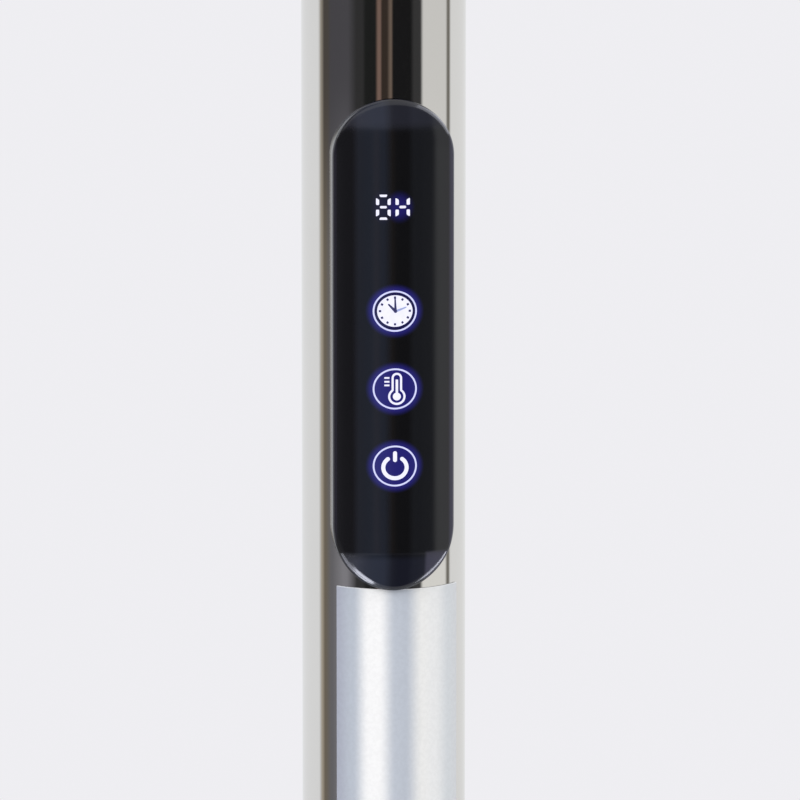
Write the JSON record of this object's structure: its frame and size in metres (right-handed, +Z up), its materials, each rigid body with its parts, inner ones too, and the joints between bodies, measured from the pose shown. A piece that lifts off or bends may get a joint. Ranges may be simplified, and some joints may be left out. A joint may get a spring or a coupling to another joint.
{
  "type": "towel warmer",
  "caption": "Wall-mounted ladder towel warmer of polished steel tubes, with a black capsule touch panel on one upright and telescoping wall brackets.",
  "frame": {"origin": "centre of the four wall screw holes, on the wall plane", "axes": "+Z up, +Y into the wall, +X to the viewer's right"},
  "size_m": [0.514, 0.1002, 0.886],
  "materials": {
    "polished_steel": "mirror polished stainless steel tube",
    "panel_black": "high gloss black acrylic",
    "gasket_rubber": "matt black foam rubber",
    "housing_plastic": "dark grey moulded plastic",
    "board_laminate": "green glass fibre laminate",
    "shroud_white": "white light guide plastic",
    "display_glass": "dark display resin",
    "spring_steel": "bright spring wire",
    "lamp_resin": "clear lamp resin",
    "relay_case": "blue moulded case",
    "capacitor_can": "drawn aluminium can",
    "chip_black": "black moulded package",
    "terminal_plastic": "green moulded block",
    "clip_steel": "spring strip",
    "sensor_resin": "dark resin bead",
    "fuse_case": "plain metal case",
    "cable_silicone": "red-brown silicone sheath",
    "seal_silicone": "black silicone",
    "foil_silver": "satin silver foil, bare",
    "gland_nylon": "black nylon",
    "base_zinc": "zinc plated turned steel",
    "screw_black": "black oxide steel"
  },
  "bodies": {
    "wall_bases": {"wall_base_upper_left": "base_zinc", "wall_base_upper_right": "base_zinc", "wall_base_lower_left": "base_zinc", "wall_base_lower_right": "base_zinc"},
    "rack": {"upright_left": "polished_steel", "upright_right": "polished_steel", "bar_01": "polished_steel", "bar_02": "polished_steel", "bar_03": "polished_steel", "bar_04": "polished_steel", "bar_05": "polished_steel", "bar_06": "polished_steel", "bar_07": "polished_steel", "bar_08": "polished_steel", "bar_09": "polished_steel", "cap_top_left": "polished_steel", "cap_top_right": "polished_steel", "cap_bottom_left": "polished_steel", "cap_bottom_right": "polished_steel", "stem_upper_left": "polished_steel", "stem_upper_right": "polished_steel", "stem_lower_left": "polished_steel", "stem_lower_right": "polished_steel", "grub_screws": "screw_black", "gland_body": "gland_nylon", "gland_locknut": "gland_nylon", "gland_nut": "gland_nylon", "gland_seal": "seal_silicone", "panel_cover": "panel_black", "panel_gasket": "gasket_rubber", "control_tray": "housing_plastic", "circuit_board": "board_laminate", "light_shroud": "shroud_white", "display_module": "display_glass", "touch_springs": "spring_steel", "key_lamps": "lamp_resin", "relay": "relay_case", "smoothing_capacitor": "capacitor_can", "control_chip": "chip_black", "terminal_block": "terminal_plastic", "retaining_clips": "clip_steel", "temperature_sensor": "sensor_resin", "thermal_fuse": "fuse_case", "heating_cable_upper": "cable_silicone", "heating_cable_lower": "cable_silicone", "cable_end_seals": "seal_silicone", "foil_patch": "foil_silver"},
    "rosette_upper_left": {"rosette_upper_left": "polished_steel"},
    "rosette_upper_right": {"rosette_upper_right": "polished_steel"},
    "rosette_lower_left": {"rosette_lower_left": "polished_steel"},
    "rosette_lower_right": {"rosette_lower_right": "polished_steel"}
  },
  "joints": [
    {"name": "standoff_slide", "type": "slide", "parent": "wall_bases", "child": "rack", "axis": [0, -1, 0], "range_m": [0, 0.008]},
    {"name": "rosette_slide_upper_left", "type": "slide", "parent": "wall_bases", "child": "rosette_upper_left", "axis": [0, -1, 0], "range_m": [0, 0.02]},
    {"name": "rosette_slide_upper_right", "type": "slide", "parent": "wall_bases", "child": "rosette_upper_right", "axis": [0, -1, 0], "range_m": [0, 0.02]},
    {"name": "rosette_slide_lower_left", "type": "slide", "parent": "wall_bases", "child": "rosette_lower_left", "axis": [0, -1, 0], "range_m": [0, 0.02]},
    {"name": "rosette_slide_lower_right", "type": "slide", "parent": "wall_bases", "child": "rosette_lower_right", "axis": [0, -1, 0], "range_m": [0, 0.02]}
  ]
}
